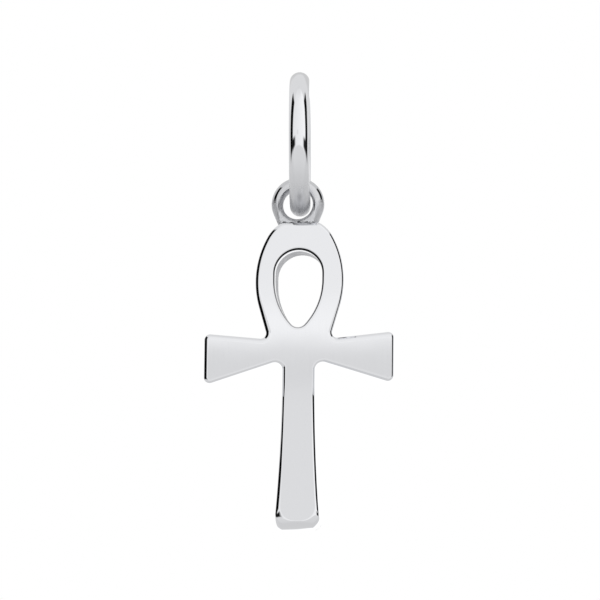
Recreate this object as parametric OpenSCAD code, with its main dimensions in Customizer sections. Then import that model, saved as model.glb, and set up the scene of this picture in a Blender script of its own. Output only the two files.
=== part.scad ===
/* [Plate] */
// Thickness of the plate, front face to back face
plate_t = 1.9; // [1.5:0.05:2.2]
// Distance from the flat on top of the loop down to the foot
plate_h = 18.22; // [16.5:0.02:22]
// Rounding of the front edges
front_round = 0.2; // [0.1:0.01:0.26]
// Rounding of the back edges
back_round = 0.14; // [0.08:0.01:0.26]

/* [Loop] */
// Radius of the round top of the loop
loop_top_r = 2.22; // [2.1:0.02:2.4]
// How much the loop swells past its round top, on each side
loop_swell = 0.4; // [0.25:0.01:0.5]
// Distance from the middle of the round top down to the widest place
loop_wide_drop = 1.58; // [1.3:0.02:1.8]
// Depth of the flat that is filed on top of the loop
loop_flat_depth = 0.29; // [0.15:0.01:0.4]
// Radius that joins the flat to the round top
loop_flat_r = 0.6; // [0.4:0.05:0.9]
// Half width of the loop where it meets the arms
loop_neck = 1.96; // [1.8:0.02:2.1]

/* [Opening of the loop] */
// Width of the opening
hole_w = 2.82; // [2.6:0.02:3]
// Height of the opening
hole_h = 4.62; // [4.2:0.01:4.9]
// Metal between the flat on top of the loop and the opening
hole_top_wall = 1.66; // [1.5:0.02:1.9]
// Distance from the middle of the opening's round top down to its widest place
hole_wide_drop = 0.4; // [0.2:0.05:0.6]
// Radius of the opening's narrow end
hole_tip_r = 0.54; // [0.4:0.02:0.7]

/* [Arms] */
// Span from one arm end to the other
arm_span = 11.24; // [10.4:0.02:13]
// Height of an arm at its end
arm_end_h = 2.92; // [2.6:0.02:3.2]
// Height of an arm beside the shaft
arm_root_h = 1.42; // [1.3:0.02:1.7]
// Distance from the flat on top of the loop down to the middle of an arm's end
arm_drop = 8.1; // [7.9:0.02:8.6]
// How much lower an arm's top is at its root than at its end
arm_top_fall = 0.3; // [0.2:0.02:0.5]
// Corner radius of the arm ends
arm_corner_r = 0.34; // [0.3:0.02:0.5]
// Fillet between the loop and the arms
arm_fillet_r = 0.32; // [0.2:0.02:0.45]
// Fillet between the arms and the shaft
armpit_r = 0.48; // [0.3:0.02:0.7]

/* [Shaft] */
// Width of the shaft below the arms
shaft_w = 1.9; // [1.7:0.02:2.2]
// Width of the foot
foot_w = 2.64; // [2.4:0.02:3.2]
// Corner radius of the foot
foot_corner_r = 0.36; // [0.28:0.01:0.6]
// Rounding of the foot's nose, at the front
foot_round = 0.36; // [0.2:0.02:0.4]

/* [Eye] */
// Bore of the eye that the bail passes through
eye_bore = 1.8; // [1.74:0.02:2]
// Width of the eye's metal at the sides of the bore
eye_wall = 0.66; // [0.56:0.01:0.8]
// How far the middle of the eye's outline lies above the middle of its bore
eye_rise = 0.04; // [0:0.02:0.26]
// How far the eye hangs off the middle of the ring, towards the left where it is negative
eye_shift = -0.12; // [-0.16:0.02:0.16]
// Thickness of the eye, front to back
eye_t = 1.1; // [0.9:0.05:1.3]
// Rounding of the eye's rim
eye_round = 0.3; // [0.15:0.01:0.4]
// Rounding of the bore's two mouths
bore_round = 0.14; // [0.05:0.01:0.2]
// Metal between the bore and the flat on top of the loop
eye_seat = 0.34; // [0.2:0.01:0.4]
// Half width of the solder neck where it meets the flat
neck_half_w = 1.12; // [1.1:0.02:1.3]
// How far the neck sinks into the loop
neck_sink = 0.4; // [0.3:0.05:0.6]

/* [Bail] */
// Outer diameter of the bail ring
bail_od = 8.56; // [7.5:0.02:10]
// Diameter of the bail's round wire
bail_wire = 1.2; // [1:0.02:1.24]
// Gap between the wire and the top of the eye's bore at rest
hang_gap = 0.33; // [0.1:0.01:0.4]
// Turn of the ring about the upright axis, away from square to the plate
bail_turn = 6.5; // [0:0.5:12]

/* [Hang] */
// How far the plate's centre line passes the middle of the ring's wire, to the right
plate_shift = 0.13; // [-0.2:0.01:0.2]
// Tilt that the ankh hangs at, foot to the left, because its eye is off the centre line
hang_tilt = 0.65; // [0:0.05:1.5]

/* [Hidden] */
silver = [0.9, 0.9, 0.92];
$fn = 96;

// Heights of the main levels. Zero is the inside top of the ring, where a chain sits.
wire_z = 1.5 * bail_wire - bail_od;
eye_z = wire_z + bail_wire / 2 + hang_gap - eye_bore / 2;
flat_z = eye_z - eye_bore / 2 - eye_seat;
foot_z = flat_z - plate_h;
arm_top_z = flat_z - arm_drop + arm_end_h / 2;
arm_root_z = arm_top_z - arm_top_fall;
armpit_z = arm_root_z - arm_root_h;

// Radius of an arc that is upright at a given half width and, a drop further along, runs
// smoothly into an end arc whose middle is on the centre line
function side_r(half_w, end_r, drop) =
    (half_w * half_w + drop * drop - end_r * end_r) / (2 * (half_w - end_r));

// Arcs of the plate's right half, from the flat down to the foot. Each row is the x and z of an
// arc's middle and its radius, negative where the outline is hollow, and straight lines join
// the arcs. Edge is how far the outline has drawn in at this depth, and nose is the same at
// the foot, where the corner grows rounder as it draws in.
loop_mid_z = flat_z + loop_flat_depth - loop_top_r;
loop_half_w = loop_top_r + loop_swell;
loop_side_r = side_r(loop_half_w, loop_top_r, loop_wide_drop);
loop_flat_z = flat_z - loop_flat_r;
loop_flat_x = sqrt(pow(loop_top_r - loop_flat_r, 2) - pow(loop_flat_z - loop_mid_z, 2));
arm_corner_x = arm_span / 2 - arm_corner_r;
hollow_z = armpit_z - armpit_r;
hollow_fall = hollow_z - foot_z - foot_corner_r;
hollow_flare = (foot_w - shaft_w) / 2;
corner_share = pow(foot_corner_r - hollow_flare, 2) - pow(foot_corner_r, 2);
hollow_r = (corner_share + pow(hollow_fall, 2)) / (2 * hollow_flare);
hollow_x = shaft_w / 2 + hollow_r;
function foot_corner(edge, r, z) =
    [hollow_x - sqrt(pow(hollow_r + edge + r, 2) - pow(hollow_z - z, 2)), z, r];
function plate_arcs(edge, nose) = [
    [loop_flat_x, loop_flat_z, loop_flat_r - edge],
    [0, loop_mid_z, loop_top_r - edge],
    [loop_half_w - loop_side_r, loop_mid_z - loop_wide_drop, loop_side_r - edge],
    [loop_neck + arm_fillet_r, arm_root_z + arm_fillet_r, -arm_fillet_r - edge],
    [arm_corner_x, arm_top_z - arm_corner_r, arm_corner_r - edge],
    [arm_corner_x, arm_top_z - arm_end_h + arm_corner_r, arm_corner_r - edge],
    [shaft_w / 2 + armpit_r, hollow_z, -armpit_r - edge],
    [hollow_x, hollow_z, -hollow_r - edge],
    foot_corner(edge, foot_corner_r + nose, foot_z + 2 * nose + foot_corner_r)
];

// Arcs of the opening's right half, in the same form. The opening grows as the plate draws in.
hole_top_r = hole_w / 2;
hole_mid_z = flat_z - hole_top_wall - hole_top_r;
hole_tip_z = flat_z - hole_top_wall - hole_h + hole_tip_r;
hole_wide_z = hole_mid_z - hole_wide_drop;
hole_side_r = side_r(hole_top_r, hole_tip_r, hole_wide_z - hole_tip_z);
function hole_arcs(edge) = [
    [0, hole_mid_z, hole_top_r + edge],
    [hole_top_r - hole_side_r, hole_wide_z, hole_side_r + edge],
    [0, hole_tip_z, hole_tip_r + edge]
];

// Outward direction of the line that runs clockwise from arc a to arc b
function line_angle(a, b) =
    let (dx = b.x - a.x, dz = b.y - a.y)
    atan2(dz, dx) + acos(max(-1, min(1, (a.z - b.z) / norm([dx, dz]))));

// Where each arc starts, and how far it turns
function arc_start(arcs, i) = i == 0 ? 90 : line_angle(arcs[i - 1], arcs[i]);
function arc_turn(arcs, i) =
    let (end = i == len(arcs) - 1 ? -90 : line_angle(arcs[i], arcs[i + 1]))
    let (turn = end - arc_start(arcs, i))
    turn - 360 * round(turn / 360);

// The first and last straight step of each arc, the same at every depth, so that the rings match.
// An arc that touches the one before it starts at its second point.
arc_step = 9;
long_arc = 3;
function touches(a, b) = norm([b.x - a.x, b.y - a.y]) < abs(a.z - b.z) + 0.001;
function arc_steps(arcs) = [for (i = [0 : len(arcs) - 1]) [
    i > 0 && touches(arcs[max(0, i - 1)], arcs[i]) ? 1 : 0,
    ceil(abs(arc_turn(arcs, i)) / arc_step) + (abs(arcs[i].z) > long_arc ? 3 : 0)
]];

// Right half of a ring of points, from its top to its foot on the centre line
function half_ring(arcs, steps) = concat(
    [[0, arcs[0].y + arcs[0].z]],
    [for (i = [0 : len(arcs) - 1], k = [steps[i][0] : steps[i][1]])
        let (angle = arc_start(arcs, i) + arc_turn(arcs, i) * k / steps[i][1])
        let (p = [arcs[i].x + arcs[i].z * cos(angle), arcs[i].y + arcs[i].z * sin(angle)])
        if (p.x > 0.001) p],
    [[0, arcs[len(arcs) - 1].y - arcs[len(arcs) - 1].z]]
);

// Whole ring, clockwise from the front, with its left half mirrored from its right half
function ring(half) = concat(half, [for (i = [len(half) - 2 : -1 : 1]) [-half[i].x, half[i].y]]);

// Triangles that fill a flat outline, given as a list of point numbers that runs clockwise: a
// corner that holds no other point is cut off, and what is left is filled the same way
function lean(a, b, c) = (b.x - a.x) * (c.y - a.y) - (b.y - a.y) * (c.x - a.x);
function holds(a, b, c, p) = lean(a, b, p) <= 0 && lean(b, c, p) <= 0 && lean(c, a, p) <= 0;
function clear_corner(pts, path, i) =
    let (n = len(path), before = (i + n - 1) % n, after = (i + 1) % n)
    let (a = pts[path[before]], b = pts[path[i]], c = pts[path[after]])
    let (others = [for (k = [0 : n - 1]) if (k != before && k != i && k != after) pts[path[k]]])
    lean(a, b, c) < -1e-7 && len([for (p = others) if (holds(a, b, c, p)) p]) == 0;
function first_corner(pts, path, i = 0) =
    i >= len(path) - 1 || clear_corner(pts, path, i) ? i : first_corner(pts, path, i + 1);
function fill(pts, path) =
    len(path) < 4 ? [path] :
    let (n = len(path), i = first_corner(pts, path))
    let (rest = [for (k = [1 : n - 1]) path[(i + k) % n]])
    concat([[path[(i + n - 1) % n], path[i], path[(i + 1) % n]]], fill(pts, rest));

plate_steps = arc_steps(plate_arcs(0, 0));
hole_steps = arc_steps(hole_arcs(0));

// Depths of the rings, front to back: the share of the rounding that is drawn in, the size of the
// rounding, its size at the foot, and the place front to back
rings = concat(
    [for (a = [90, 60, 30, 0])
        [1 - cos(a), front_round, foot_round, front_round * (1 - sin(a)) - plate_t / 2]],
    [for (a = [0, 45, 90])
        [1 - cos(a), back_round, back_round, plate_t / 2 - back_round * (1 - sin(a))]]
);
outer_half = [for (r = rings) half_ring(plate_arcs(r[0] * r[1], r[0] * r[2]), plate_steps)];
hole_half = [for (r = rings) half_ring(hole_arcs(r[0] * r[1]), hole_steps)];

module plate() {
    half_o = len(outer_half[0]);
    half_h = len(hole_half[0]);
    count_o = 2 * half_o - 2;
    count_h = 2 * half_h - 2;
    last = len(rings) - 1;
    first_h = (last + 1) * count_o;
    points = concat(
        [for (i = [0 : last], p = ring(outer_half[i])) [p.x, rings[i][3], p.y]],
        [for (i = [0 : last], p = ring(hole_half[i])) [p.x, rings[i][3], p.y]]
    );
    // Two triangles between neighbouring points of neighbouring rings
    outer_walls = [for (r = [0 : last - 1], i = [0 : count_o - 1])
        let (a = r * count_o + i, b = r * count_o + (i + 1) % count_o)
        each [[a, a + count_o, b + count_o], [a, b + count_o, b]]];
    hole_walls = [for (r = [0 : last - 1], i = [0 : count_h - 1])
        let (a = first_h + r * count_h + i, b = first_h + r * count_h + (i + 1) % count_h)
        each [[a, b + count_h, a + count_h], [a, b, b + count_h]]];
    // The front and the back are each filled on the right of the centre line, then mirrored
    path = [for (i = [0 : half_o + half_h - 1]) i];
    faces = [for (r = [0, last])
        let (
            pts = concat(outer_half[r], [for (i = [half_h - 1 : -1 : 0]) hole_half[r][i]]),
            right = [for (i = path) i < half_o ? r * count_o + i
                : first_h + r * count_h + half_o + half_h - 1 - i],
            left = [for (i = path) i < half_o ? r * count_o + (count_o - i) % count_o
                : first_h + r * count_h + (count_h - (half_o + half_h - 1 - i)) % count_h]
        )
        for (t = fill(pts, path))
            each r == 0
                ? [[right[t.x], right[t.y], right[t.z]], [left[t.z], left[t.y], left[t.x]]]
                : [[right[t.z], right[t.y], right[t.x]], [left[t.x], left[t.y], left[t.z]]]
    ];
    polyhedron(points = points, faces = concat(outer_walls, hole_walls, faces));
}

// Half section of a disc with a rounded rim
module rim_section(radius, h, r) {
    translate([0, -h / 2]) square([radius - r, h]);
    translate([0, r - h / 2]) square([radius, h - 2 * r]);
    for (y = [r - h / 2, h / 2 - r])
        translate([radius - r, y]) circle(r);
}

// Half section of what is cut out of a bore whose mouths are rounded
module bore_section(radius, h, r) {
    translate([0, -h]) square([radius, 2 * h]);
    for (side = [0, 1])
        mirror([0, side]) translate([0, h / 2 - r]) difference() {
            square([radius + r, h]);
            translate([radius + r, 0]) circle(r);
        }
}

module eye() {
    bore_r = eye_bore / 2;
    rim_r = bore_r + eye_wall;
    seat_z = -bore_r - eye_seat;
    // The neck's sides leave the rim where a line to the flat just touches it
    drop = seat_z - eye_rise;
    touch = atan2(drop, neck_half_w) + acos(min(1, rim_r / norm([neck_half_w, drop])));
    touch_x = rim_r * cos(touch);
    touch_z = eye_rise + rim_r * sin(touch);
    translate([eye_shift, 0, eye_z]) rotate([90, 0, 0]) difference() {
        union() {
            translate([0, eye_rise]) rotate_extrude() rim_section(rim_r, eye_t, eye_round);
            linear_extrude(eye_t - 2 * eye_round, center = true) polygon([
                [touch_x, touch_z],
                [neck_half_w, seat_z],
                [neck_half_w, seat_z - neck_sink],
                [-neck_half_w, seat_z - neck_sink],
                [-neck_half_w, seat_z],
                [-touch_x, touch_z]
            ]);
        }
        rotate_extrude() bore_section(bore_r, eye_t, bore_round);
    }
}

module ankh() {
    color(silver) translate([0, 0, wire_z]) rotate([0, hang_tilt, 0]) translate([0, 0, -wire_z]) {
        translate([plate_shift, 0, 0]) plate();
        eye();
    }
}

module bail() {
    color(silver)
        translate([0, 0, bail_wire - bail_od / 2])
            rotate([0, 90, bail_turn])
                rotate_extrude() translate([(bail_od - bail_wire) / 2, 0]) circle(bail_wire / 2);
}

ankh();
bail();
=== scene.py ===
import math

import bmesh
import bpy
from mathutils import Matrix, Vector


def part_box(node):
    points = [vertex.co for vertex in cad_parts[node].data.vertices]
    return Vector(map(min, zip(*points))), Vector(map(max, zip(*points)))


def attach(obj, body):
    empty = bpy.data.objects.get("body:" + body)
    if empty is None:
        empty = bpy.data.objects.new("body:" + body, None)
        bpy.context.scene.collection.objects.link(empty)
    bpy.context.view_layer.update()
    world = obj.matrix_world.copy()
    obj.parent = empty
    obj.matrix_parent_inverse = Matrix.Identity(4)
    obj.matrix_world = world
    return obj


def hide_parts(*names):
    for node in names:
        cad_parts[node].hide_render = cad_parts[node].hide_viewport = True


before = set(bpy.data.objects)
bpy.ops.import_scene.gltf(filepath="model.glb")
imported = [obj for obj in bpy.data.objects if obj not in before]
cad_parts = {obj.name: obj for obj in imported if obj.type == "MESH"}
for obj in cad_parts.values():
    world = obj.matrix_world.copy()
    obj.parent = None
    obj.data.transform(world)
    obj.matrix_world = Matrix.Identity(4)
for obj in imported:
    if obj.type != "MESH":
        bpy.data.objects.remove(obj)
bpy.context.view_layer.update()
mm = 0.001

# Camera: from a little below, and a little to the right of square on
viewFromPhoto = {
    "azimuth": 7.5,         # degrees
    "elevation": -11.0,     # degrees
    "distance": 400.0,      # mm
    "acrossPicture": 35.4,  # mm of the pendant across the picture
    "aimX": 0.0,            # mm, the point in the middle of the picture
    "aimZ": -12.475,        # mm
    "clip": (0.01, 10.0),   # metres
}


def placeCamera(plan):
    around, up = math.radians(plan["azimuth"]), math.radians(plan["elevation"])
    towards = Vector((math.sin(around) * math.cos(up), -math.cos(around) * math.cos(up),
                      math.sin(up)))
    lens = bpy.data.cameras.new("photoLens")
    lens.lens = lens.sensor_width * plan["distance"] / plan["acrossPicture"]
    lens.clip_start, lens.clip_end = plan["clip"]
    camera = bpy.data.objects.new("photoCamera", lens)
    aim = Vector((plan["aimX"], 0, plan["aimZ"]))
    camera.location = (aim + towards * plan["distance"]) * mm
    camera.rotation_euler = (-towards).to_track_quat("-Z", "Y").to_euler()
    bpy.context.scene.collection.objects.link(camera)
    bpy.context.scene.camera = camera


placeCamera(viewFromPhoto)
print("camera placed")


# Small helpers for nodes

def link(nodes, output, socket):
    nodes.id_data.links.new(output, socket)


def feed(nodes, value, socket):
    # A value is a plain one or another node's output
    if isinstance(value, bpy.types.NodeSocket):
        link(nodes, value, socket)
    else:
        socket.default_value = value


def mathNode(nodes, operation, *values, clamp=False):
    node = nodes.new("ShaderNodeMath")
    node.operation = operation
    node.use_clamp = clamp
    for socket, value in zip(node.inputs, values):
        feed(nodes, value, socket)
    return node.outputs[0]


def mixNode(nodes, dataType, factor, a, b):
    # One Mix node for colours ("RGBA") or numbers ("FLOAT")
    node = nodes.new("ShaderNodeMix")
    node.data_type = dataType
    sockets = [s for s in node.inputs if s.enabled]
    for socket, value in zip(sockets, (factor, a, b)):
        feed(nodes, value, socket)
    return [s for s in node.outputs if s.enabled][0]


def newGroup(name, given, made):
    # An empty node group with named inputs and outputs, each a name and a socket type
    group = bpy.data.node_groups.new(name, "ShaderNodeTree")
    for side, rows in (("INPUT", given), ("OUTPUT", made)):
        for label, kind in rows:
            group.interface.new_socket(label, in_out=side, socket_type="NodeSocket" + kind)
    nodes = group.nodes
    return group, nodes.new("NodeGroupInput").outputs, nodes.new("NodeGroupOutput").inputs


def useGroup(nodes, group, **values):
    node = nodes.new("ShaderNodeGroup")
    node.node_tree = group
    for name, value in values.items():
        feed(nodes, value, node.inputs[name])
    return node


# Meshes are drawn in mm
mergeReach = 0.0004  # mm, vertices closer than this become one
sharpAngle = 35.0    # degrees, from which a crease stays sharp


def finishMesh(bm, name):
    # Turns a bmesh in mm into an object whose place is in its mesh
    bmesh.ops.remove_doubles(bm, verts=bm.verts, dist=mergeReach)
    bmesh.ops.recalc_face_normals(bm, faces=bm.faces)
    for face in bm.faces:
        face.smooth = True
    bm.transform(Matrix.Scale(mm, 4))
    mesh = bpy.data.meshes.new(name)
    bm.to_mesh(mesh)
    bm.free()
    mesh.set_sharp_from_angle(angle=math.radians(sharpAngle))
    piece = bpy.data.objects.new(name, mesh)
    bpy.context.scene.collection.objects.link(piece)
    return piece


# Outlines. An outline's right half is a row of arcs, from the top down. Each arc is the x and z
# of its middle and its radius, negative where the outline is hollow. Straight lines join them.
outlineSteps = {
    "angle": 4,                    # degrees of an arc for each step
    "longArc": 3, "longExtra": 8,  # an arc of a larger radius than this, in mm, has more steps
    "shortest": 0.001,             # mm, a shorter straight line is left out
}


def lineAngle(a, b):
    # Outward direction of the straight line from arc a to arc b
    along = math.atan2(b[1] - a[1], b[0] - a[0])
    lean = (a[2] - b[2]) / math.hypot(b[0] - a[0], b[1] - a[1])
    return along + math.acos(max(-1, min(1, lean)))


def arcTurns(arcs):
    # Where each arc starts, and how far it turns
    starts = [math.pi / 2] + [lineAngle(a, b) for a, b in zip(arcs, arcs[1:])]
    ends = starts[1:] + [-math.pi / 2]
    return [(start, math.remainder(end - start, 2 * math.pi)) for start, end in zip(starts, ends)]


def arcSteps(arcs):
    s = outlineSteps
    counts = []
    for (_, _, radius), (_, turn) in zip(arcs, arcTurns(arcs)):
        extra = s["longExtra"] if abs(radius) > s["longArc"] else 0
        counts.append(max(2, math.ceil(abs(turn) / math.radians(s["angle"])) + extra))
    return counts


def lineTo(bm, vert, place):
    if (Vector(place) - vert.co).length < outlineSteps["shortest"]:
        return vert
    new = bmesh.ops.extrude_vert_indiv(bm, verts=[vert])["verts"][0]
    new.co = place
    return new


def drawHalf(bm, arcs, steps, y):
    # Draws the right half of an outline at one depth, and gives its edges and its two ends
    known = set(bm.edges)
    first = vert = bm.verts.new((0, y, arcs[0][1] + arcs[0][2]))
    for (x, z, radius), (start, turn), count in zip(arcs, arcTurns(arcs), steps):
        vert = lineTo(bm, vert, (x + radius * math.cos(start), y, z + radius * math.sin(start)))
        spun = bmesh.ops.spin(bm, geom=[vert], cent=(x, y, z), axis=(0, -1, 0),
                              angle=turn, steps=count)
        vert = [g for g in spun["geom_last"] if isinstance(g, bmesh.types.BMVert)][0]
    vert = lineTo(bm, vert, (0, y, arcs[-1][1] - arcs[-1][2]))
    return [e for e in bm.edges if e not in known], first, vert


def edgeRounding(flatTilt, flatShare, count, spread=9.0):
    # Steps of a rounded edge, from the face to the wall: how far each is drawn in and how deep it
    # lies, both from 0 to 1. It is flatter where its tilt is near flatTilt, in degrees.
    drawn, deep, places = 0.0, 0.0, [(0.0, 0.0)]
    for step in range(count):
        tilt = math.radians(90) * (step + 0.5) / count
        length = 1 + flatShare * math.exp(-((math.degrees(tilt) - flatTilt) / spread) ** 2)
        drawn += length * math.cos(tilt)
        deep += length * math.sin(tilt)
        places.append((drawn, deep))
    return [(1 - a / drawn, b / deep) for a, b in places]


def newMarks(bm):
    # "opening" marks the side of an opening. The finishes read the others.
    return {name: bm.verts.layers.float.new(name)
            for name in ("opening", "dullWall", "paintedLineAndDarkSolder", "satin")}


def halfPlate(bm, levels, outline, opening, marks):
    # Joins the outlines of all the depths into the right half of a plate, and mirrors it. On the
    # opening's side the marks take each level's values.
    rings = []
    outSteps, inSteps = (arcSteps(row(0, 0, 0)) for row in (outline, opening))
    for level in levels:
        drawnIn = level["edge"], level["in"], level["nose"]
        outer = drawHalf(bm, outline(*drawnIn), outSteps, level["y"])
        inner = drawHalf(bm, opening(*drawnIn), inSteps, level["y"])
        for vert in {v for e in inner[0] for v in e.verts}:
            for name, layer in marks.items():
                vert[layer] = level[name]
        rings.append((outer, inner))
    for (outA, inA), (outB, inB) in zip(rings, rings[1:]):
        bmesh.ops.bridge_loops(bm, edges=outA[0] + outB[0])
        bmesh.ops.bridge_loops(bm, edges=inA[0] + inB[0])
    for outer, inner in (rings[0], rings[-1]):
        top = bm.edges.new((outer[1], inner[1]))
        foot = bm.edges.new((outer[2], inner[2]))
        bmesh.ops.contextual_create(bm, geom=outer[0] + inner[0] + [top, foot])
    everything = bm.verts[:] + bm.edges[:] + bm.faces[:]
    bmesh.ops.mirror(bm, geom=everything, matrix=Matrix.Identity(4), axis="X",
                     merge_dist=mergeReach)


def sideRadius(halfWidth, endRadius, drop):
    # Radius of a side that is upright at halfWidth and runs into an end arc on the centre line
    return (halfWidth ** 2 + drop ** 2 - endRadius ** 2) / (2 * (halfWidth - endRadius))


# How the ankh hangs on the ring. Its eye is soldered off the middle, so it hangs with its foot to
# the left. Heights come from the bail's box in model.glb, and zero is the inside top of the ring.
hang = {
    "gap": 0.33,         # mm between the wire and the top of the eye's bore
    "tilt": 0.65,        # degrees
    "plateShift": 0.13,  # mm to the right, before the tilt
    "eyeShift": -0.12,   # mm
    "wire": 1.2,         # mm, diameter
    "bore": 1.8,         # mm, diameter
    "seat": 0.34,        # mm from the foot of the bore down to the flat that the eye stands on
}
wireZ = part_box("bail")[0].z / mm + hang["wire"] / 2
eyeZ = wireZ + hang["wire"] / 2 + hang["gap"] - hang["bore"] / 2
flatZ = eyeZ - hang["bore"] / 2 - hang["seat"]


def hangOnWire(bm, shift):
    bmesh.ops.translate(bm, verts=bm.verts, vec=(shift, 0, 0))
    bmesh.ops.rotate(bm, verts=bm.verts, cent=(0, 0, wireZ),
                     matrix=Matrix.Rotation(math.radians(hang["tilt"]), 3, "Y"))


# The cast plate, in mm
plateShape = {
    "thickness": 1.9, "height": 18.22,
    # The loop, the flat on its top that the eye stands on, and the opening
    "topRadius": 2.22, "swell": 0.4, "wideDrop": 1.58, "neck": 1.96,
    "flatDepth": 0.29, "flatRadius": 0.6,
    "openingWidth": 2.82, "openingHeight": 4.62, "openingTop": 1.66,
    "openingWideDrop": 0.4, "openingTip": 0.54, "openingShift": -0.07,
    # The arms and the shaft
    "span": 11.24, "armEnd": 2.92, "armRoot": 1.42, "armDrop": 8.1, "armFall": 0.3,
    "armCorner": 0.34, "armFillet": 0.32, "armpit": 0.48,
    "shaft": 1.9, "foot": 2.64, "footCorner": 0.36, "rightCorner": 0.72,
    "leastFlat": 0.05, "leastCorner": 0.07, "leastFoot": 0.12,  # smallest radii where it narrows
    # The filed front edge: its widths, its depth and its rounding
    "loopEdge": 0.18, "shaftEdge": 0.165, "footEdge": 0.24, "openingEdge": 0.11,
    "edgeDepth": 0.2, "frontRounding": {"flatTilt": 43, "flatShare": 8, "count": 14},
    # How far the face lies off the middle of its outline: down, and to the right at distances
    # below the flat
    "faceDrop": 0.07, "openingFaceShift": 0.03,
    "faceShifts": ((0, 0.07), (9.6, 0.07), (10.6, 0.02), (13.5, 0.025), (18.3, 0.08)),
    # The face falls off towards its edges: distance from the edge, and slope in degrees
    "crown": ((0.04, 0.9), (0.09, 0.3)),
    "hold": 0.012,  # a narrow rim inside the front and the back, which keeps their shading flat
    # The bull nose of the foot: how far its front and back are drawn up, and its fullest depth
    "noseRise": 0.47, "backNoseRise": 0.3, "noseDepth": 1.2,
    "noseCorner": 1.1,  # growth of the corner's radius for each mm that the foot is drawn up
    "wallSteps": 10, "backWallSteps": 5,  # in front of the fullest depth, and behind it
    "backEdge": 0.14, "backRounding": {"flatTilt": 45, "flatShare": 0, "count": 8},
    "dullFrom": 0.4, "dullOver": 0.2,  # depth where the opening's wall turns dull, and over which
    # The painted dark line round the opening, a painted reflection along its filed edge: how
    # steeply it starts and ends, its strength half way down, and what is added at the top and on
    # the right
    "lineStart": 5, "lineEnd": 6, "lineMiddle": 0.8, "lineTop": 0.4, "lineRight": 0.06,
}
footZ = flatZ - plateShape["height"]


def plateOutline(edge, inset, nose):
    # Edge is the share of the filed edge that is drawn in, inset is a further distance, and nose
    # is how far the foot is drawn up
    s = plateShape
    e = s["loopEdge"] * edge + inset
    shaftEdge, footEdge = s["shaftEdge"] * edge + inset, s["footEdge"] * edge + inset
    loopZ = flatZ + s["flatDepth"] - s["topRadius"]
    half = s["topRadius"] + s["swell"]
    side = sideRadius(half, s["topRadius"], s["wideDrop"])
    cutZ = flatZ - s["flatRadius"]
    cutX = math.sqrt((s["topRadius"] - s["flatRadius"]) ** 2 - (cutZ - loopZ) ** 2)
    armTop = flatZ - s["armDrop"] + s["armEnd"] / 2
    rootTop = armTop - s["armFall"]
    corner = max(s["leastCorner"], s["armCorner"] - e)
    endX = s["span"] / 2 - e - corner
    hollowZ = rootTop - s["armRoot"] - s["armpit"]
    shaftX, footX = s["shaft"] / 2 - shaftEdge, s["foot"] / 2 - footEdge
    footCorner = max(s["leastFoot"], s["footCorner"] + s["noseCorner"] * nose - inset)
    cornerZ = footZ + nose + inset + footCorner
    fall, flare = hollowZ - footZ - s["footCorner"], footX - shaftX
    hollow = ((s["footCorner"] - flare) ** 2 + fall ** 2 - s["footCorner"] ** 2) / (2 * flare)
    hollowX = shaftX + hollow
    cornerX = hollowX - math.sqrt((hollow + footCorner) ** 2 - (hollowZ - cornerZ) ** 2)
    return [
        (cutX, cutZ, max(s["leastFlat"], s["flatRadius"] - e)),
        (0, loopZ, s["topRadius"] - e),
        (half - side, loopZ - s["wideDrop"], side - e),
        (s["neck"] + s["armFillet"], rootTop + s["armFillet"], -s["armFillet"] - e),
        (endX, armTop - e - corner, corner),
        (endX, armTop - s["armEnd"] + e + corner, corner),
        (shaftX + s["armpit"] + shaftEdge, hollowZ, -s["armpit"] - shaftEdge),
        (hollowX, hollowZ, -hollow),
        (cornerX, cornerZ, footCorner),
    ]


def plateOpening(edge, inset, nose):
    s = plateShape
    e = s["openingEdge"] * edge + inset
    top = s["openingWidth"] / 2
    topZ = flatZ - s["openingTop"] - top
    tipZ = flatZ - s["openingTop"] - s["openingHeight"] + s["openingTip"]
    wideZ = topZ - s["openingWideDrop"]
    side = sideRadius(top, s["openingTip"], wideZ - tipZ)
    return [(0, topZ, top + e), (top - side, wideZ, side + e), (0, tipZ, s["openingTip"] + e)]


def noseAt(deep, s):
    # How far the foot is drawn up at a depth behind the front
    if deep < s["noseDepth"]:
        return s["noseRise"] * (1 - math.sqrt(1 - (1 - deep / s["noseDepth"]) ** 2))
    behind = (deep - s["noseDepth"]) / (s["thickness"] - s["noseDepth"])
    return s["backNoseRise"] * (1 - math.sqrt(1 - min(1, behind) ** 2))


def plateLevels(s):
    # Levels from the front face to the back
    def level(edge, inset, deep, dull, line):
        return {"edge": edge, "in": inset, "nose": noseAt(max(0, deep), s),
                "y": -s["thickness"] / 2 + deep, "front": edge if deep < s["edgeDepth"] else 0,
                "opening": 1, "dullWall": dull, "paintedLineAndDarkSolder": line, "satin": 0}

    rise, reach, rows = 0.0, 0.0, []
    for inset, slope in s["crown"]:
        rise += (inset - reach) * math.tan(math.radians(slope))
        reach = inset
        rows.insert(0, level(1, inset, -rise, 0, 0))
    rows.insert(0, level(1, reach + s["hold"], -rise, 0, 0))
    for drawn, deep in edgeRounding(**s["frontRounding"]):
        # A painted dark reflection line on the opening's filed edge
        line = min(1, s["lineStart"] * (1 - drawn), s["lineEnd"] * drawn)
        rows.append(level(drawn, 0, deep * s["edgeDepth"], 0, line))
    for step in range(1, s["wallSteps"] + 1):
        deep = s["edgeDepth"] + (s["noseDepth"] - s["edgeDepth"]) * step / s["wallSteps"]
        rows.append(level(0, 0, deep, max(0, min(1, (deep - s["dullFrom"]) / s["dullOver"])), 0))
    backStart = s["thickness"] - s["backEdge"]
    for step in range(1, s["backWallSteps"]):
        deep = s["noseDepth"] + (backStart - s["noseDepth"]) * step / s["backWallSteps"]
        rows.append(level(0, 0, deep, 1, 0))
    for drawn, deep in reversed(edgeRounding(**s["backRounding"])):
        rows.append(level(0, drawn * s["backEdge"], s["thickness"] - deep * s["backEdge"],
                          1 - drawn, 0))
    rows.append(level(0, s["backEdge"] + s["hold"], s["thickness"], 0, 0))
    return rows


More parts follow.
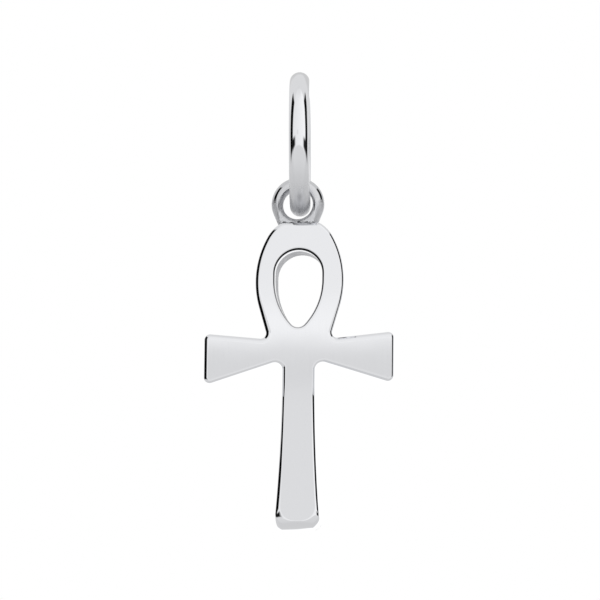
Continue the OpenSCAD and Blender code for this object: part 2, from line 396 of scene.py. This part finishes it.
def between(rows, place):
    # Value at a place, from rows of place and value
    for (a, valueA), (b, valueB) in zip(rows, rows[1:]):
        if place <= b:
            return valueA + (valueB - valueA) * max(0, place - a) / (b - a)
    return rows[-1][1]


def shiftFace(bm, levels, opening, s):
    # Moves the face off the middle of its outline, so the filed edge is wider on the left and at
    # the top. Levels of the same depth are moved once.
    sameDepth = 0.00001
    for y, share in {(round(row["y"], 6), row["front"]) for row in levels if row["front"]}:
        for vert in [v for v in bm.verts if abs(v.co.y - y) < sameDepth]:
            if vert[opening] > 0.5:
                vert.co.x += s["openingFaceShift"] * share
            else:
                vert.co.x += between(s["faceShifts"], flatZ - vert.co.z) * share
                vert.co.z -= s["faceDrop"] * share


def roundFoot(bm, s):
    # Draws the foot's lower right corner in to a larger arc than its left one has
    radius = s["rightCorner"]
    middle = Vector((s["foot"] / 2 - radius, footZ + radius))
    for vert in bm.verts:
        away = Vector((vert.co.x, vert.co.z)) - middle
        if away.x > 0 and away.y < 0 and away.length > radius:
            vert.co.x, vert.co.z = middle + away.normalized() * radius


def fadeLine(bm, layer, s):
    # The painted dark reflection line round the opening is strongest at its top
    top = flatZ - s["openingTop"]
    foot = top - s["openingHeight"]
    middle, half = (top + foot) / 2, (top - foot) / 2
    for vert in bm.verts:
        if vert[layer]:
            up = (vert.co.z - middle) / half
            right = math.copysign(1 - abs(up), vert.co.x)
            vert[layer] *= s["lineMiddle"] + s["lineTop"] * up + s["lineRight"] * right


def makePlate(s):
    bm = bmesh.new()
    marks = newMarks(bm)
    levels = plateLevels(s)
    halfPlate(bm, levels, plateOutline, plateOpening, marks)
    shiftFace(bm, levels, marks["opening"], s)
    roundFoot(bm, s)
    fadeLine(bm, marks["paintedLineAndDarkSolder"], s)
    aroundOpening = [v for v in bm.verts if v[marks["opening"]] > 0.5]
    bmesh.ops.translate(bm, verts=aroundOpening, vec=(s["openingShift"], 0, 0))
    hangOnWire(bm, hang["plateShift"])
    return finishMesh(bm, "castPlate")


plate = makePlate(plateShape)
print("plate:", len(plate.data.polygons), "faces")


# The eye, in mm: a small thick ring with a full round rim, whose foot is soldered to the flat
eyeShape = {
    "wall": 0.66, "rise": 0.04, "thickness": 1.1,
    "edgeWidth": 0.47, "edgeDepth": 0.5,
    "rimRounding": {"flatTilt": 40, "flatShare": 1.5, "count": 16},
    "boreEdge": 0.2, "boreDrop": 0.12,  # how far the bore widens and sinks towards its faces
    "neckHalf": 1.12, "neckLean": 0.1, "neckEdge": 0.1, "neckCorner": 0.05,
    "sink": 0.3,  # how far the foot runs into the plate
    # Below this height the eye's colour is painted lighter, a painted light
    "satinFrom": 0.35, "satinOver": 0.35,  # height where the satin starts, and over which
    # The bore's dull wall, which is also painted lighter than the eye's face: how suddenly it
    # starts at the rim, its strength at the middle of the bore, what is added by the foot of the
    # bore, and its least strength
    "dullStart": 6, "dullMiddle": 1.1, "dullDown": 1.2, "dullLeast": 0.15,
}


def eyeOutline(edge, inset, nose):
    # Inset and nose are only there because halfPlate gives them, and are 0 for the eye
    s = eyeShape
    base = s["neckHalf"] - s["neckLean"] - s["neckCorner"] - s["neckEdge"] * edge
    return [(0, eyeZ + s["rise"], hang["bore"] / 2 + s["wall"] - s["edgeWidth"] * edge),
            (base, flatZ - s["sink"], s["neckCorner"])]


def eyeBore(edge, inset, nose):
    s = eyeShape
    return [(0, eyeZ - s["boreDrop"] * edge, hang["bore"] / 2 + s["boreEdge"] * edge)]


def eyeLevels(s):
    # The front half's levels, and the same mirrored for the back
    rows = []
    for drawn, deep in edgeRounding(**s["rimRounding"]):
        rows.append({"edge": drawn, "in": 0, "nose": 0,
                     "y": -s["thickness"] / 2 + deep * s["edgeDepth"], "opening": 1,
                     "dullWall": 1 - drawn ** s["dullStart"], "paintedLineAndDarkSolder": 0, "satin": 0})
    return rows + [{**row, "y": -row["y"]} for row in reversed(rows)]


def makeEye(s):
    bm = bmesh.new()
    marks = newMarks(bm)
    halfPlate(bm, eyeLevels(s), eyeOutline, eyeBore, marks)
    for vert in bm.verts:
        # Satin paints the lower part lighter, and the dull mark paints the bore lighter
        low = (eyeZ + s["satinFrom"] - vert.co.z) / s["satinOver"]
        vert[marks["satin"]] = max(0, min(1, low))
        down = (eyeZ - vert.co.z) / hang["bore"] * 2
        dull = min(1, s["dullMiddle"] + s["dullDown"] * down)
        vert[marks["dullWall"]] *= max(s["dullLeast"], dull)
    hangOnWire(bm, hang["eyeShift"])
    return finishMesh(bm, "solderedEye")


eye = makeEye(eyeShape)
print("eye:", len(eye.data.polygons), "faces")


# Beads of solder along both sides of the eye's foot, in mm
solderShape = {
    "count": 15, "fineness": 3, "halfWidth": 1.02, "small": 0.05, "large": 0.09,
    "stretch": (1.7, 1, 0.8), "lean": 0.5,  # radians
    "forward": 0.56, "stray": 0.03, "raise": 0.05, "lift": 0.04, "darkShare": 0.9,
    # Radians from one bead to the next and from side to side, so that neighbours differ
    "sizeStep": 2.4, "darkStep": 2.1, "darkSide": 3, "leanStep": 5, "strayStep": 3, "liftStep": 7,
}


def makeSolder(s):
    bm = bmesh.new()
    dark = newMarks(bm)["paintedLineAndDarkSolder"]
    for side in (-1, 1):
        for bead in range(s["count"]):
            along = 2 * bead / (s["count"] - 1) - 1
            uneven = abs(math.sin(s["sizeStep"] * bead + side))
            size = s["small"] + (s["large"] - s["small"]) * uneven
            shade = math.sin(s["darkStep"] * bead + s["darkSide"] * side)
            lean = s["lean"] * math.sin(s["leanStep"] * bead)
            forward = s["forward"] + s["stray"] * math.sin(s["strayStep"] * bead)
            z = flatZ + s["raise"] + s["lift"] * math.cos(s["liftStep"] * bead)
            verts = bmesh.ops.create_icosphere(bm, subdivisions=s["fineness"],
                                               radius=size)["verts"]
            for vert in verts:
                vert[dark] = s["darkShare"] * (0.5 + 0.5 * shade)
            bmesh.ops.scale(bm, verts=verts, vec=s["stretch"])
            bmesh.ops.rotate(bm, verts=verts, cent=(0, 0, 0),
                             matrix=Matrix.Rotation(lean, 3, "Y"))
            bmesh.ops.translate(bm, verts=verts,
                                vec=(s["halfWidth"] * along, side * forward, z))
    hangOnWire(bm, hang["eyeShift"])
    return finishMesh(bm, "solderBeads")


solder = makeSolder(solderShape)
print("solder:", len(solder.data.polygons), "faces")


# The ring that the chain runs through
ringShape = {
    "turn": 6.5,  # degrees about the upright axis
    "aroundWire": 72, "aroundRing": 240,
    # Degrees each way from the ring's bottom, where the eye rubs it to satin and where the wire's
    # colour is darkened as painted shade
    "satinHalf": 40.0, "satinFade": 50.0,
}


def makeRing(s):
    low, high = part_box("bail")
    middleZ = (low.z + high.z) / 2 / mm
    wireRadius = hang["wire"] / 2
    radius = (high.z - low.z) / 2 / mm - wireRadius
    bm = bmesh.new()
    section = bmesh.ops.create_circle(bm, segments=s["aroundWire"], radius=wireRadius)["verts"]
    bmesh.ops.translate(bm, verts=section, vec=(radius, 0, 0))
    bmesh.ops.rotate(bm, verts=section, cent=(0, 0, 0), matrix=Matrix.Rotation(math.pi / 2, 3, "X"))
    bmesh.ops.spin(bm, geom=bm.verts[:] + bm.edges[:], cent=(0, 0, 0), axis=(0, 0, 1),
                   angle=2 * math.pi, steps=s["aroundRing"], use_merge=True)
    rubbedAndPaintedShade = newMarks(bm)["satin"]
    # The rubbed bottom is satin, and its colour is darkened there: painted shade
    for vert in bm.verts:
        away = abs(math.degrees(math.atan2(vert.co.y, vert.co.x)))
        vert[rubbedAndPaintedShade] = max(0, min(1, (s["satinHalf"] - away) / s["satinFade"] + 0.5))
    turned = Matrix.Rotation(math.radians(s["turn"]), 4, "Z")
    upright = turned @ Matrix.Rotation(math.pi / 2, 4, "Y")
    bm.transform(Matrix.Translation((0, 0, middleZ)) @ upright)
    return finishMesh(bm, "bailRing")


ring = makeRing(ringShape)
print("ring:", len(ring.data.polygons), "faces")


# Silver: sizes in mm, tilts in degrees
silverLook = {
    "colour": (0.925, 0.932, 0.955, 1), "roughness": 0.03,
    "dullColour": (0.50, 0.505, 0.525, 1), "dullRoughness": 0.4,
    "darkColour": (0.012, 0.012, 0.014, 1),
    "satinPaintedLightAndShade": 0.9, "satinRoughness": 0.38,
    "waveSize": 2.6, "waveTilt": 0.025, "scratchSize": 0.12, "scratchTilt": 0.012,
}
# The eye is a darker copy of the silver, a painted shade, and its lower part and bore are painted
# lighter
eyeLook = {
    **silverLook, "colour": (0.72, 0.726, 0.745, 1), "roughness": 0.09,
    "dullColour": (0.88, 0.885, 0.9, 1), "dullRoughness": 0.6,
    "satinPaintedLightAndShade": 1.22, "satinRoughness": 0.62,
    "waveSize": 0.7, "waveTilt": 1.2, "scratchTilt": 0.25,
}
solderLook = {
    **silverLook, "colour": (0.75, 0.755, 0.77, 1), "roughness": 0.12,
    "waveSize": 0.12, "waveTilt": 15.0, "scratchTilt": 0.25,
}
# The wire's colour is darkened on the ring's rubbed bottom: painted shade
wireLook = {
    **silverLook, "roughness": 0.055, "satinPaintedLightAndShade": 0.8, "satinRoughness": 0.5,
    "waveSize": 1.8, "waveTilt": 0.6, "scratchTilt": 0.25,
}
# What polishing and wear leave in every silver
polishMarks = {
    "waveDetail": 1.0, "scratchDetail": 2.0,
    "scratchTurn": (0.2, math.radians(28), 0), "scratchStretch": (1, 1, 0.06),
    "glossSpread": 0.012,
    "noiseRise": 0.6,  # share of its size over which a noise rises
    "patchScale": 2600, "patchDetail": 3, "patchSpread": 0.7, "patchLeast": 0.65,
}


def bumpDepth(size, tilt):
    # Height in metres of a noise of that size in mm whose slopes are about that many degrees
    return math.tan(math.radians(tilt)) * size * mm * polishMarks["noiseRise"]


def handPolishGroup(s):
    # Slow waves and fine scratches that polishing leaves, and a little spread in the gloss
    group, given, made = newGroup(
        "handPolish",
        [("WaveScale", "Float"), ("WaveDepth", "Float"), ("ScratchScale", "Float"),
         ("ScratchDepth", "Float"), ("Roughness", "Float")],
        [("Normal", "Vector"), ("Roughness", "Float")])
    nodes = group.nodes
    place = nodes.new("ShaderNodeTexCoord").outputs["Object"]
    waves = nodes.new("ShaderNodeTexNoise")
    waves.inputs["Detail"].default_value = s["waveDetail"]
    link(nodes, place, waves.inputs["Vector"])
    link(nodes, given["WaveScale"], waves.inputs["Scale"])
    waveBump = nodes.new("ShaderNodeBump")
    link(nodes, waves.outputs["Fac"], waveBump.inputs["Height"])
    link(nodes, given["WaveDepth"], waveBump.inputs["Distance"])
    along = nodes.new("ShaderNodeMapping")
    along.inputs["Rotation"].default_value = s["scratchTurn"]
    along.inputs["Scale"].default_value = s["scratchStretch"]
    link(nodes, place, along.inputs["Vector"])
    scratches = nodes.new("ShaderNodeTexNoise")
    scratches.inputs["Detail"].default_value = s["scratchDetail"]
    link(nodes, along.outputs["Vector"], scratches.inputs["Vector"])
    link(nodes, given["ScratchScale"], scratches.inputs["Scale"])
    scratchBump = nodes.new("ShaderNodeBump")
    link(nodes, scratches.outputs["Fac"], scratchBump.inputs["Height"])
    link(nodes, given["ScratchDepth"], scratchBump.inputs["Distance"])
    link(nodes, waveBump.outputs["Normal"], scratchBump.inputs["Normal"])
    link(nodes, scratchBump.outputs["Normal"], made["Normal"])
    spread = mathNode(nodes, "MULTIPLY_ADD", scratches.outputs["Fac"],
                      s["glossSpread"], -s["glossSpread"] / 2)
    gloss = mathNode(nodes, "ADD", given["Roughness"], spread, clamp=True)
    link(nodes, gloss, made["Roughness"])
    return group


def wearGroup(s):
    # Bright silver, dull where polishing doesn't reach, dark on darker solder beads and in a
    # painted dark reflection line round the opening, satin where it rubs. The satin colour is a
    # painted shade on the ring and a painted light on the eye, and the eye's dull bore is painted
    # lighter too
    group, given, made = newGroup(
        "wornSilver",
        [("Bright", "Color"), ("Dull", "Color"), ("Dark", "Color"), ("SatinShade", "Float"),
         ("BrightRoughness", "Float"), ("DullRoughness", "Float"), ("SatinRoughness", "Float")],
        [("Colour", "Color"), ("Roughness", "Float")])
    nodes = group.nodes
    patches = nodes.new("ShaderNodeTexNoise")
    patches.inputs["Scale"].default_value = s["patchScale"]
    patches.inputs["Detail"].default_value = s["patchDetail"]
    place = nodes.new("ShaderNodeTexCoord").outputs["Object"]
    link(nodes, place, patches.inputs["Vector"])
    uneven = mathNode(nodes, "MULTIPLY_ADD", patches.outputs["Fac"],
                      s["patchSpread"], s["patchLeast"])
    marks = []
    for name in ("dullWall", "paintedLineAndDarkSolder", "satin"):
        mark = nodes.new("ShaderNodeAttribute")
        mark.attribute_name = name
        marks.append(mathNode(nodes, "MULTIPLY", mark.outputs["Fac"], uneven, clamp=True))
    dull, dark, satin = marks
    shade = mixNode(nodes, "FLOAT", satin, 1.0, given["SatinShade"])
    shaded = nodes.new("ShaderNodeVectorMath")
    shaded.operation = "SCALE"
    link(nodes, given["Bright"], shaded.inputs[0])
    link(nodes, shade, shaded.inputs["Scale"])
    colour = mixNode(nodes, "RGBA", dull, shaded.outputs[0], given["Dull"])
    link(nodes, mixNode(nodes, "RGBA", dark, colour, given["Dark"]), made["Colour"])
    gloss = mixNode(nodes, "FLOAT", satin, given["BrightRoughness"], given["SatinRoughness"])
    gloss = mixNode(nodes, "FLOAT", dull, gloss, given["DullRoughness"])
    link(nodes, gloss, made["Roughness"])
    return group


polishGroup, wornGroup = handPolishGroup(polishMarks), wearGroup(polishMarks)


def polishedSilver(name, look):
    material = bpy.data.materials.new(name)
    material.use_nodes = True
    nodes = material.node_tree.nodes
    shader = nodes["Principled BSDF"]
    shader.inputs["Metallic"].default_value = 1
    worn = useGroup(nodes, wornGroup, Bright=look["colour"], Dull=look["dullColour"],
                    Dark=look["darkColour"], SatinShade=look["satinPaintedLightAndShade"],
                    BrightRoughness=look["roughness"], DullRoughness=look["dullRoughness"],
                    SatinRoughness=look["satinRoughness"])
    polish = useGroup(nodes, polishGroup, Roughness=worn.outputs["Roughness"],
                      WaveScale=1 / (look["waveSize"] * mm),
                      WaveDepth=bumpDepth(look["waveSize"], look["waveTilt"]),
                      ScratchScale=1 / (look["scratchSize"] * mm),
                      ScratchDepth=bumpDepth(look["scratchSize"], look["scratchTilt"]))
    link(nodes, worn.outputs["Colour"], shader.inputs["Base Color"])
    link(nodes, polish.outputs["Roughness"], shader.inputs["Roughness"])
    link(nodes, polish.outputs["Normal"], shader.inputs["Normal"])
    return material


silver = polishedSilver("polishedSilver", silverLook)
eyeSilver = polishedSilver("eyeSilverPaintedShadeAndLight", eyeLook)
solderSilver = polishedSilver("solder", solderLook)
wireSilver = polishedSilver("drawnWireSilver", wireLook)
for piece, finish in ((plate, silver), (eye, eyeSilver), (solder, solderSilver)):
    piece.data.materials.append(finish)
    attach(piece, "ankh")
    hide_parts("ankh")
ring.data.materials.append(wireSilver)
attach(ring, "bail")
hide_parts("bail")
print("silver finished")


# The studio: a world of soft cards round the pendant, each laid over the ones before it. A card
# has where it starts and ends round the pendant and above it, how soft its border is each way, and
# its tone in the picture from 0 to 255 at its two sides ("across") or at its foot and top ("up").
# All angles are in degrees, and round the pendant 0 is straight in front.
cards = {
    "upperSky": {"round": (-180, 180), "above": (15, 90), "soft": (1, 12), "up": (216, 216)},
    "behind": {"round": (160, 204), "above": (-18, 15), "soft": (5, 3), "up": (256, 256)},
    "behindPlate": {"round": (175, 185), "above": (-4, 4), "soft": (1, 1), "up": (203, 222)},
    "behindLow": {"round": (95, 265), "above": (-95, -32), "soft": (8, 8), "up": (203, 203)},
    "behindHigh": {"round": (150, 210), "above": (17, 40), "soft": (8, 5), "up": (200, 200)},
    # What the filed edges and the wire's sides mirror as dark lines
    "darkSurround": {"round": (-103, 118), "above": (-8, 48), "soft": (1.5, 2), "up": (6, 14)},
    "frontUpper": {"round": (-65, 85), "above": (-15, 87), "soft": (2, 2), "across": (226, 244)},
    "frontCrown": {"round": (-65, 85), "above": (72, 95), "soft": (2, 12), "up": (221, 221)},
    "frontLow": {"round": (-67, 87), "above": (-95, -14), "soft": (1.5, 1.5), "up": (203, 213)},
    "gapLeft": {"round": (-72, -36), "above": (-11.5, 2), "soft": (12, 3), "up": (10, 10)},
    "gapRight": {"round": (60, 92), "above": (-11.5, 2), "soft": (12, 3), "up": (10, 10)},
    # What the flat face mirrors
    "faceBright": {"round": (-15, 0), "above": (10.5, 10.95), "soft": (3, 0.15), "up": (245, 245)},
    "faceStep": {"round": (-15, 0), "above": (4, 10.62), "soft": (3, 0.07), "up": (219, 219)},
    "faceShade": {"round": (-15, 0), "above": (10.28, 10.62), "soft": (3, 0.07), "up": (211, 211)},
}
studioTone = 205     # where there is no card
silverShare = 0.932  # of the light, that the silver gives back


def toneLight(tone):
    # Light that the silver gives back as that tone, by the screen's standard curve
    value = tone / 255
    linear = value / 12.92 if value < 0.04045 else ((value + 0.055) / 1.055) ** 2.4
    return linear / silverShare


def studioCardGroup():
    # Mask of a card from the direction's two angles, and how far across and up the card it is
    group, given, made = newGroup(
        "studioCard",
        [(side + part, "Float")
         for part in ("Round", "Above") for side in ("Angle", "Middle", "Half", "Soft")],
        [("Mask", "Float"), ("Across", "Float"), ("Up", "Float")])
    nodes = group.nodes
    masks = []
    for part, share in (("Round", "Across"), ("Above", "Up")):
        off = mathNode(nodes, "SUBTRACT", given["Angle" + part], given["Middle" + part])
        if part == "Round":
            off = mathNode(nodes, "WRAP", off, 180.0, -180.0)
        width = mathNode(nodes, "MULTIPLY", given["Half" + part], 2.0)
        fromMiddle = mathNode(nodes, "DIVIDE", off, width)
        link(nodes, mathNode(nodes, "ADD", fromMiddle, 0.5, clamp=True), made[share])
        inside = mathNode(nodes, "SUBTRACT", given["Half" + part],
                          mathNode(nodes, "ABSOLUTE", off))
        ease = nodes.new("ShaderNodeMapRange")
        ease.interpolation_type = "SMOOTHSTEP"
        ease.inputs["From Min"].default_value = -1
        border = mathNode(nodes, "DIVIDE", inside, given["Soft" + part])
        link(nodes, border, ease.inputs["Value"])
        masks.append(ease.outputs["Result"])
    link(nodes, mathNode(nodes, "MULTIPLY", *masks), made["Mask"])
    return group


def lightStudio(rows):
    world = bpy.data.worlds.new("studio")
    bpy.context.scene.world = world
    world.use_nodes = True
    nodes = world.node_tree.nodes
    nodes.clear()
    parts = nodes.new("ShaderNodeSeparateXYZ")
    link(nodes, nodes.new("ShaderNodeTexCoord").outputs["Generated"], parts.inputs[0])
    toFront = mathNode(nodes, "MULTIPLY", parts.outputs["Y"], -1.0)
    turn = mathNode(nodes, "ARCTAN2", parts.outputs["X"], toFront)
    azimuth = mathNode(nodes, "MULTIPLY", turn, math.degrees(1))
    climb = mathNode(nodes, "ARCSINE", parts.outputs["Z"])
    elevation = mathNode(nodes, "MULTIPLY", climb, math.degrees(1))
    group = studioCardGroup()
    light = toneLight(studioTone)
    for name, row in rows.items():
        (left, right), (low, high), soft = row["round"], row["above"], row["soft"]
        # A card that goes all the way round overlaps itself, so that it shows no seam
        halfRound = (right - left) / 2 if right - left < 360 else 200.0
        card = useGroup(nodes, group, AngleRound=azimuth, MiddleRound=(left + right) / 2,
                        HalfRound=halfRound, SoftRound=soft[0], AngleAbove=elevation,
                        MiddleAbove=(low + high) / 2, HalfAbove=(high - low) / 2,
                        SoftAbove=soft[1])
        card.label = name
        way = "across" if "across" in row else "up"
        first, last = (toneLight(tone) for tone in row[way])
        own = mixNode(nodes, "FLOAT", card.outputs[way.capitalize()], first, last)
        light = mixNode(nodes, "FLOAT", card.outputs["Mask"], light, own)
    # The camera sees plain white behind the pendant, and only the silver sees the cards
    reflected = nodes.new("ShaderNodeBackground")
    link(nodes, light, reflected.inputs["Strength"])
    seen = nodes.new("ShaderNodeBackground")
    for background in (reflected, seen):
        background.inputs["Color"].default_value = (1, 1, 1, 1)
    choose = nodes.new("ShaderNodeMixShader")
    link(nodes, nodes.new("ShaderNodeLightPath").outputs["Is Camera Ray"], choose.inputs[0])
    link(nodes, reflected.outputs[0], choose.inputs[1])
    link(nodes, seen.outputs[0], choose.inputs[2])
    link(nodes, choose.outputs[0], nodes.new("ShaderNodeOutputWorld").inputs["Surface"])


lightStudio(cards)


# A plain pale floor, in mm, far enough below to clear the camera
floorPlan = {
    "below": 500.0, "radius": 3000.0, "sides": 96,
    "colour": (0.93, 0.93, 0.93, 1), "roughness": 0.9,
}


def makeFloor(plan):
    bm = bmesh.new()
    bmesh.ops.create_circle(bm, cap_ends=True, segments=plan["sides"], radius=plan["radius"])
    bmesh.ops.translate(bm, verts=bm.verts, vec=(0, 0, -plan["below"]))
    floor = finishMesh(bm, "studioFloor")
    paint = bpy.data.materials.new("paleFloor")
    paint.use_nodes = True
    shader = paint.node_tree.nodes["Principled BSDF"]
    shader.inputs["Base Color"].default_value = plan["colour"]
    shader.inputs["Roughness"].default_value = plan["roughness"]
    floor.data.materials.append(paint)
    floor.visible_glossy = False  # the silver mirrors the cards alone


makeFloor(floorPlan)
bpy.context.scene.view_settings.view_transform = "Standard"
print("studio lit")
